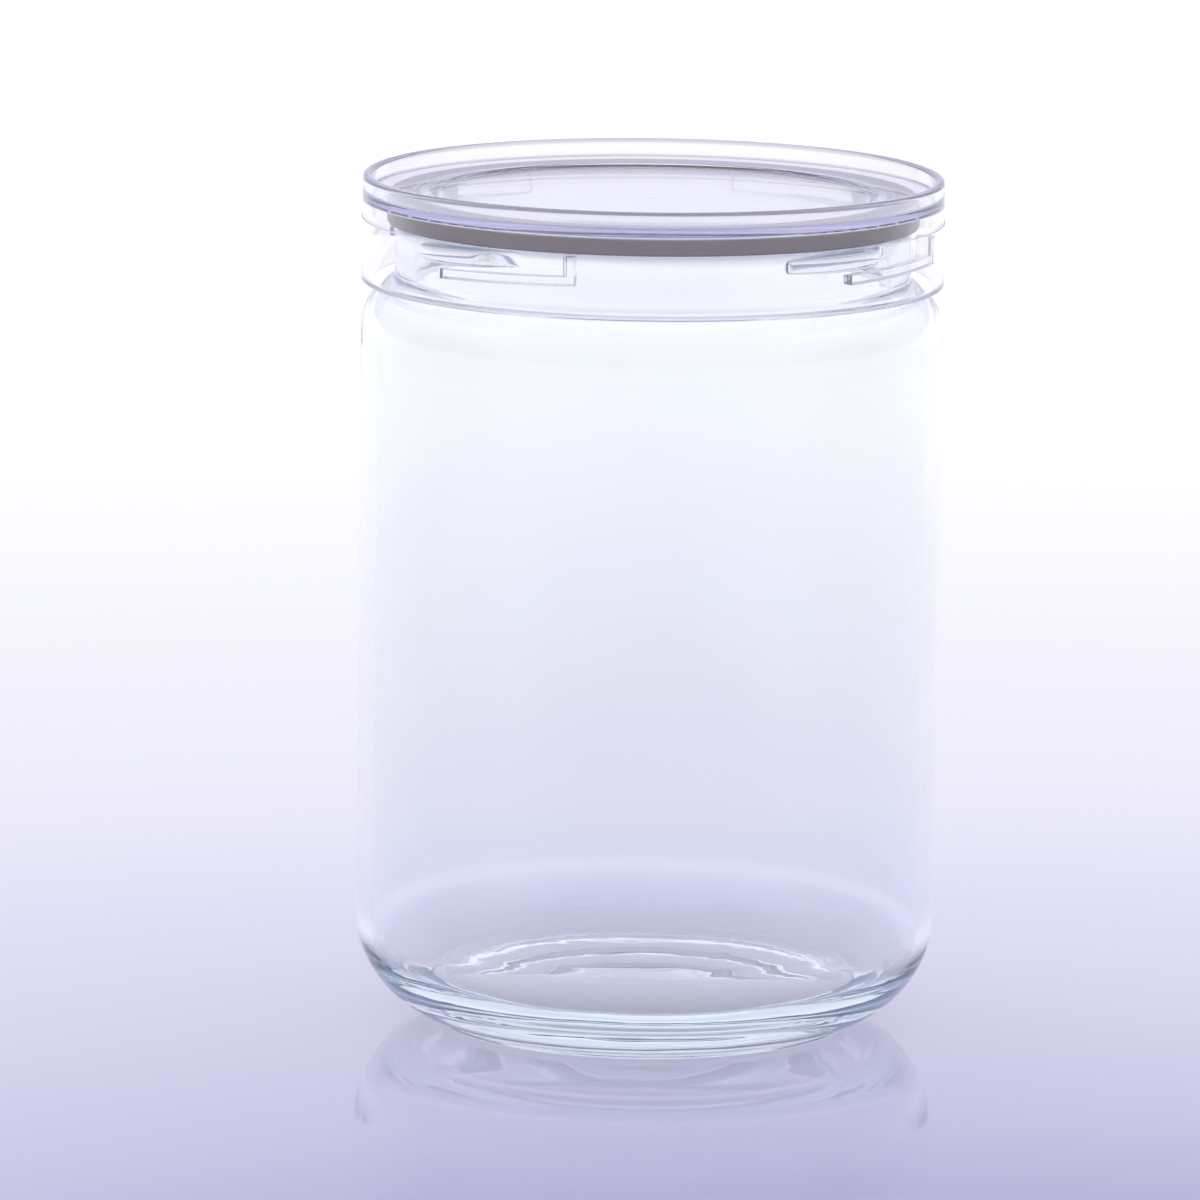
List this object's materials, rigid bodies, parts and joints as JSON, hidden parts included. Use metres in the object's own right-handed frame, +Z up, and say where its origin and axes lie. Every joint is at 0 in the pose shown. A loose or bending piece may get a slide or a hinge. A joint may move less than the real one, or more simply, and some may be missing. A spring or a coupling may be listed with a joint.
{
  "type": "lidded glass canister",
  "caption": "Upright round clear glass storage jar with a clear moulded lid that turns to lock under lugs on the glass and presses on a soft grey sealing ring.",
  "frame": {"origin": "on the jar's axis, in the plane of the ring that the jar stands on", "axes": "+Z up along the jar's axis; -Y is the front, midway between two of the glass lugs; +X is to the right seen from the front"},
  "size_m": [0.1042, 0.1042, 0.1527],
  "materials": {
    "clear_glass": "clear pressed soda-lime glass, fire-polished, with the slight waves of a moulded jar",
    "clear_plastic": "clear injection-moulded styrene plastic, glossy, faint lilac cast, fine mould lines",
    "grey_silicone": "matt translucent grey silicone rubber"
  },
  "bodies": {
    "jar": {"jar": "clear_glass"},
    "seal": {"gasket": "grey_silicone"},
    "lid": {"lid": "clear_plastic"}
  },
  "joints": [
    {"name": "lid_lift", "type": "slide", "parent": "jar", "child": "seal", "axis": [0, 0, 1], "range_m": [0, 0.06]},
    {"name": "lid_turn", "type": "hinge", "parent": "seal", "child": "lid", "pos_m": [0, 0, 0.146], "axis": [0, 0, 1], "range_deg": [-10, 40]}
  ]
}
